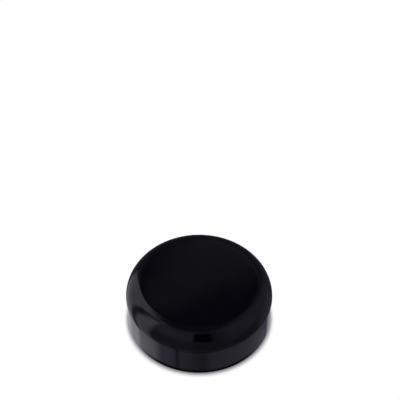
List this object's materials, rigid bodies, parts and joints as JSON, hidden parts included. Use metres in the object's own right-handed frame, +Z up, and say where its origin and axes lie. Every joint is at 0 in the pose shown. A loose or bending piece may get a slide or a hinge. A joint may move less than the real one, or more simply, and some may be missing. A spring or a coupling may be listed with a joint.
{
  "type": "jar screw lid",
  "caption": "Smooth-sided domed screw lid for a wide-mouth jar: flat round top, wide rounded shoulder, plain skirt, internal thread and a sealing disc.",
  "frame": {"origin": "centre of the open rim's plane, where the lid stands mouth down", "axes": "+Z up along the thread's axis to the flat top; the lid is round, and the thread's lower run-out begins at +X"},
  "size_m": [0.057, 0.057, 0.0211],
  "materials": {
    "black_gloss_plastic": "high gloss, as moulded in a polished cavity",
    "liner_foam": "matt foam sheet with a thin smooth skin"
  },
  "bodies": {
    "root": {"lid_shell": "black_gloss_plastic", "sealing_disc": "liner_foam"}
  },
  "joints": []
}
